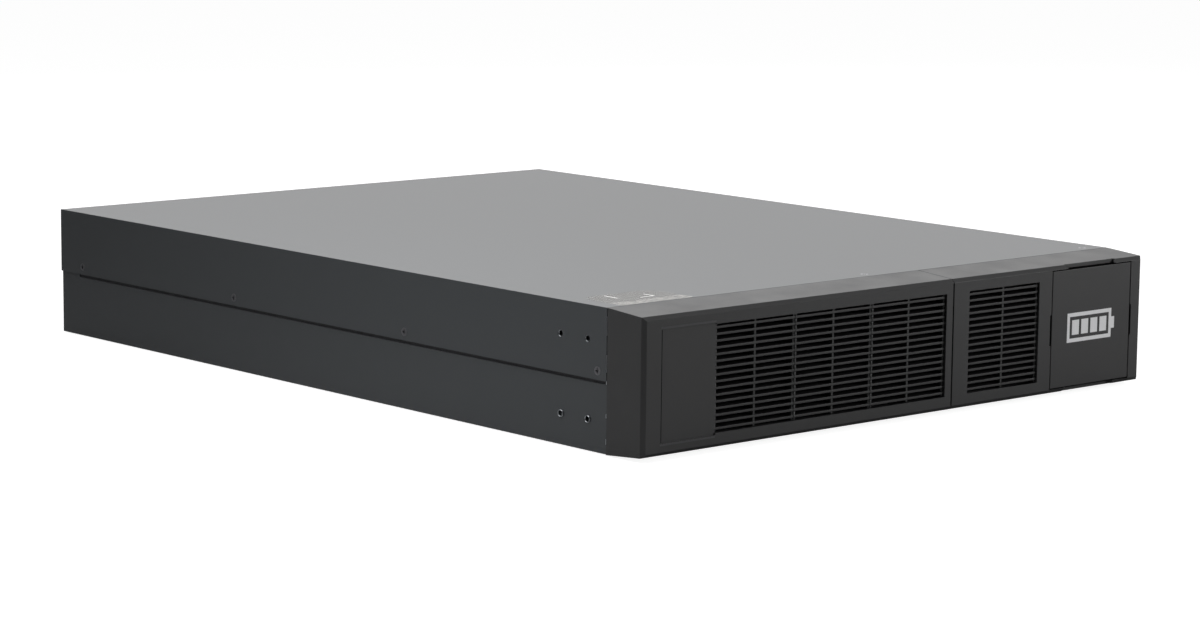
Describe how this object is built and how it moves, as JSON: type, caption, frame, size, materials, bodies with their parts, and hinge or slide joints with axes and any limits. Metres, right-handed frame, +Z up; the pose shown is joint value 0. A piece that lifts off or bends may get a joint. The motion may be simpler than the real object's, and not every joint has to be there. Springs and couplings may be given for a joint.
{
  "type": "ups battery pack",
  "caption": "Rack and tower battery pack of an uninterruptible power supply: flat steel case, two-piece front bezel with louvred grilles and a square plate, rear breaker and power sockets.",
  "frame": {"origin": "level with the underside of the pads it stands on, at the centre of the overall width and depth", "axes": "+Z up, -Y out of the front bezel, +X to the right seen from the front"},
  "size_m": [0.44, 0.61, 0.0873],
  "materials": {
    "powder_coated_steel": "fine texture matte",
    "galvanised_steel": "satin",
    "bezel_plastic": "fine spark texture",
    "grille_plastic": "matte",
    "battery_case": "satin",
    "foam": "matte",
    "pad_rubber": "matte",
    "black_cable": "satin",
    "red_cable": "satin",
    "breaker_plastic": "satin",
    "toggle_plastic": "satin gloss",
    "socket_plastic": "satin",
    "silver_contact": "plated",
    "brass": "turned",
    "zinc_steel": "zinc plated",
    "black_screw": "black zinc"
  },
  "bodies": {
    "case": {"chassis_base": "powder_coated_steel", "top_cover": "powder_coated_steel", "front_panel": "powder_coated_steel", "rear_panel": "powder_coated_steel", "centre_divider": "galvanised_steel", "left_tray": "galvanised_steel", "right_tray": "galvanised_steel", "left_hold_downs": "galvanised_steel", "right_hold_downs": "galvanised_steel", "left_pads": "foam", "right_pads": "foam", "floor_pads": "pad_rubber", "battery_1": "battery_case", "battery_2": "battery_case", "battery_3": "battery_case", "battery_4": "battery_case", "battery_5": "battery_case", "battery_6": "battery_case", "battery_7": "battery_case", "battery_8": "battery_case", "battery_9": "battery_case", "battery_10": "battery_case", "battery_11": "battery_case", "battery_12": "battery_case", "left_links": "black_cable", "right_links": "black_cable", "negative_lead": "black_cable", "output_negative_lead": "black_cable", "left_positive_lead": "red_cable", "right_positive_lead": "red_cable", "positive_lead": "red_cable", "output_positive_lead": "red_cable", "left_fuse_holder": "breaker_plastic", "right_fuse_holder": "breaker_plastic", "breaker_body": "breaker_plastic", "power_socket_1": "socket_plastic", "power_socket_2": "socket_plastic", "signal_port": "socket_plastic", "socket_contacts_1": "silver_contact", "socket_contacts_2": "silver_contact", "earth_stud": "brass", "earth_nuts": "zinc_steel", "ear_nuts": "zinc_steel", "panel_screws": "zinc_steel", "side_screws": "black_screw", "top_screws": "black_screw", "rear_screws": "black_screw"},
    "left_bezel_body": {"left_bezel": "bezel_plastic", "grille_1": "grille_plastic", "grille_2": "grille_plastic", "grille_3": "grille_plastic"},
    "right_bezel_body": {"right_bezel": "bezel_plastic", "grille_4": "grille_plastic"},
    "plate_body": {"label_plate": "bezel_plastic"},
    "toggle_body": {"breaker_toggle": "toggle_plastic"}
  },
  "joints": [
    {"name": "left_bezel_pull", "type": "slide", "parent": "case", "child": "left_bezel_body", "axis": [0, -1, 0], "range_m": [0, 0.04]},
    {"name": "right_bezel_pull", "type": "slide", "parent": "case", "child": "right_bezel_body", "axis": [0, -1, 0], "range_m": [0, 0.04]},
    {"name": "label_plate_pull", "type": "slide", "parent": "right_bezel_body", "child": "plate_body", "axis": [0, -1, 0], "range_m": [0, 0.02]},
    {"name": "breaker_toggle_turn", "type": "hinge", "parent": "case", "child": "toggle_body", "pos_m": [0, 0.2915, 0.04405], "axis": [1, 0, 0], "range_deg": [0, 60]}
  ]
}
